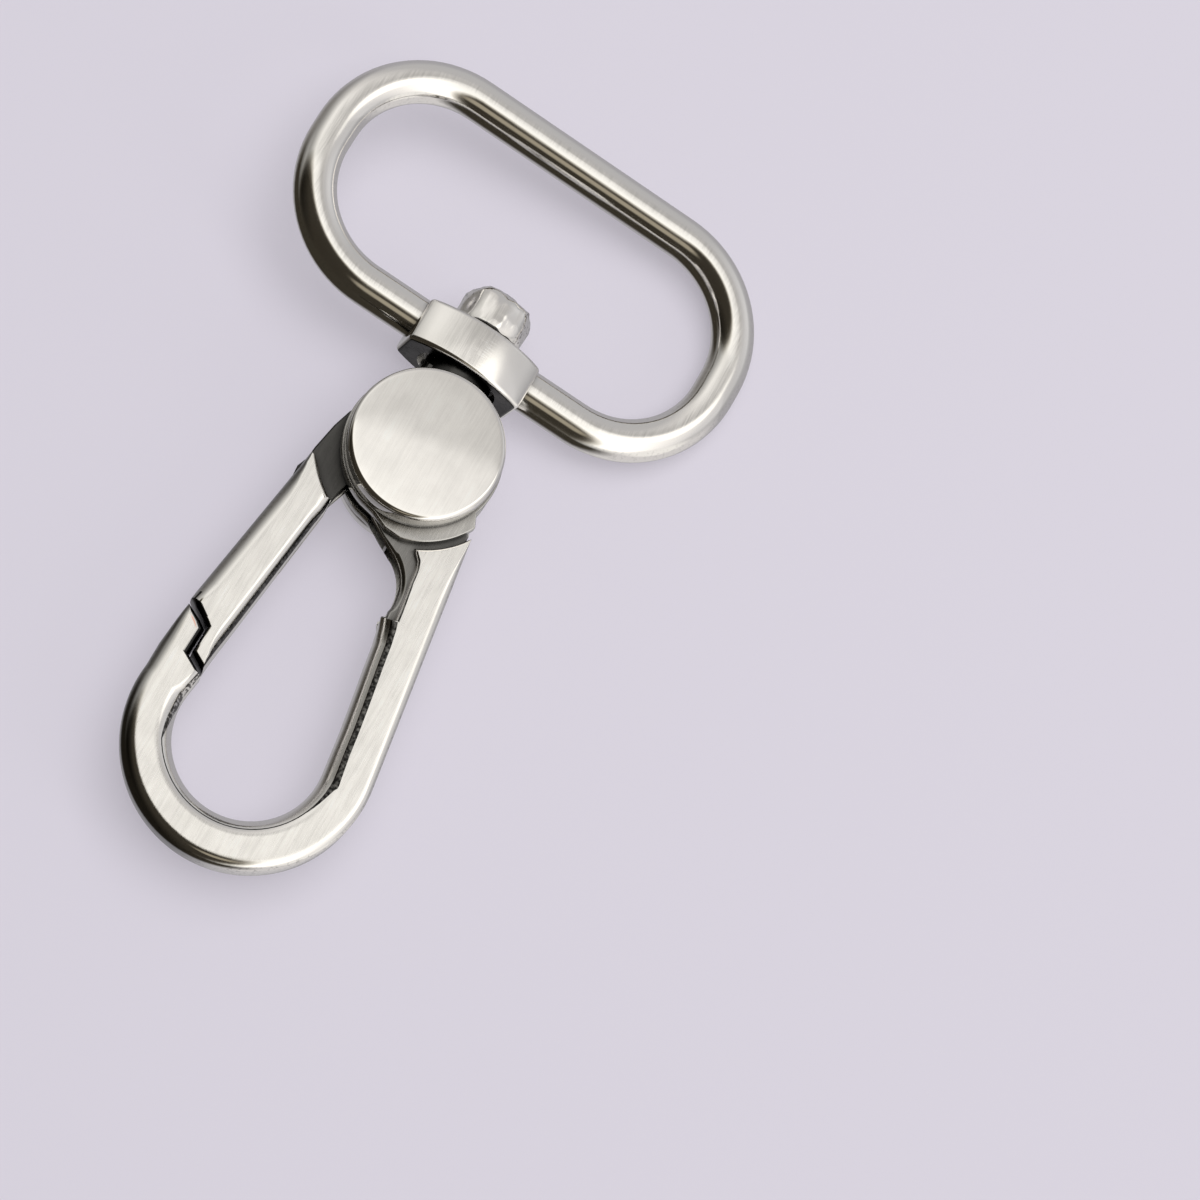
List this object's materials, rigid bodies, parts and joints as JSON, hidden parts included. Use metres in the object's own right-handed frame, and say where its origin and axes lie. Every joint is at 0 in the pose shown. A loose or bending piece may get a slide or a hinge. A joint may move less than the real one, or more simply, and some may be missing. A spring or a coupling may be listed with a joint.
{
  "type": "swivel snap hook",
  "caption": "Swivel snap hook with a spring gate, round button pivot and an oblong loop for 38 mm webbing, satin nickel.",
  "frame": {"origin": "centre of the back button's flat face, on the pivot axis of the gate; the hook rests on that face", "axes": "+Y along the hook towards the webbing loop, +Z out of the front face, +X to the side away from the gate"},
  "size_m": [0.0461, 0.0761, 0.01],
  "materials": {
    "satin_nickel": "satin nickel plate, brushed along the hook",
    "button_nickel": "satin nickel plate, finely brushed, polished rim",
    "spring_steel": "drawn wire"
  },
  "bodies": {
    "hook": {"hook_body": "satin_nickel", "pivot_button": "button_nickel", "back_button": "button_nickel", "gate_spring": "spring_steel"},
    "gate_arm": {"gate": "satin_nickel"},
    "loop": {"swivel_loop": "satin_nickel"}
  },
  "joints": [
    {"name": "gate_hinge", "type": "hinge", "parent": "hook", "child": "gate_arm", "pos_m": [0, 0, 0.005], "axis": [0, 0, 1], "range_deg": [0, 24], "stiffness_Nm_per_rad": 0.06, "springref_deg": -34.38, "deforming": ["gate_spring"]},
    {"name": "loop_swivel", "type": "hinge", "parent": "hook", "child": "loop", "pos_m": [-0.0007, 0.0105, 0.005], "axis": [0, 1, 0], "continuous": true}
  ]
}
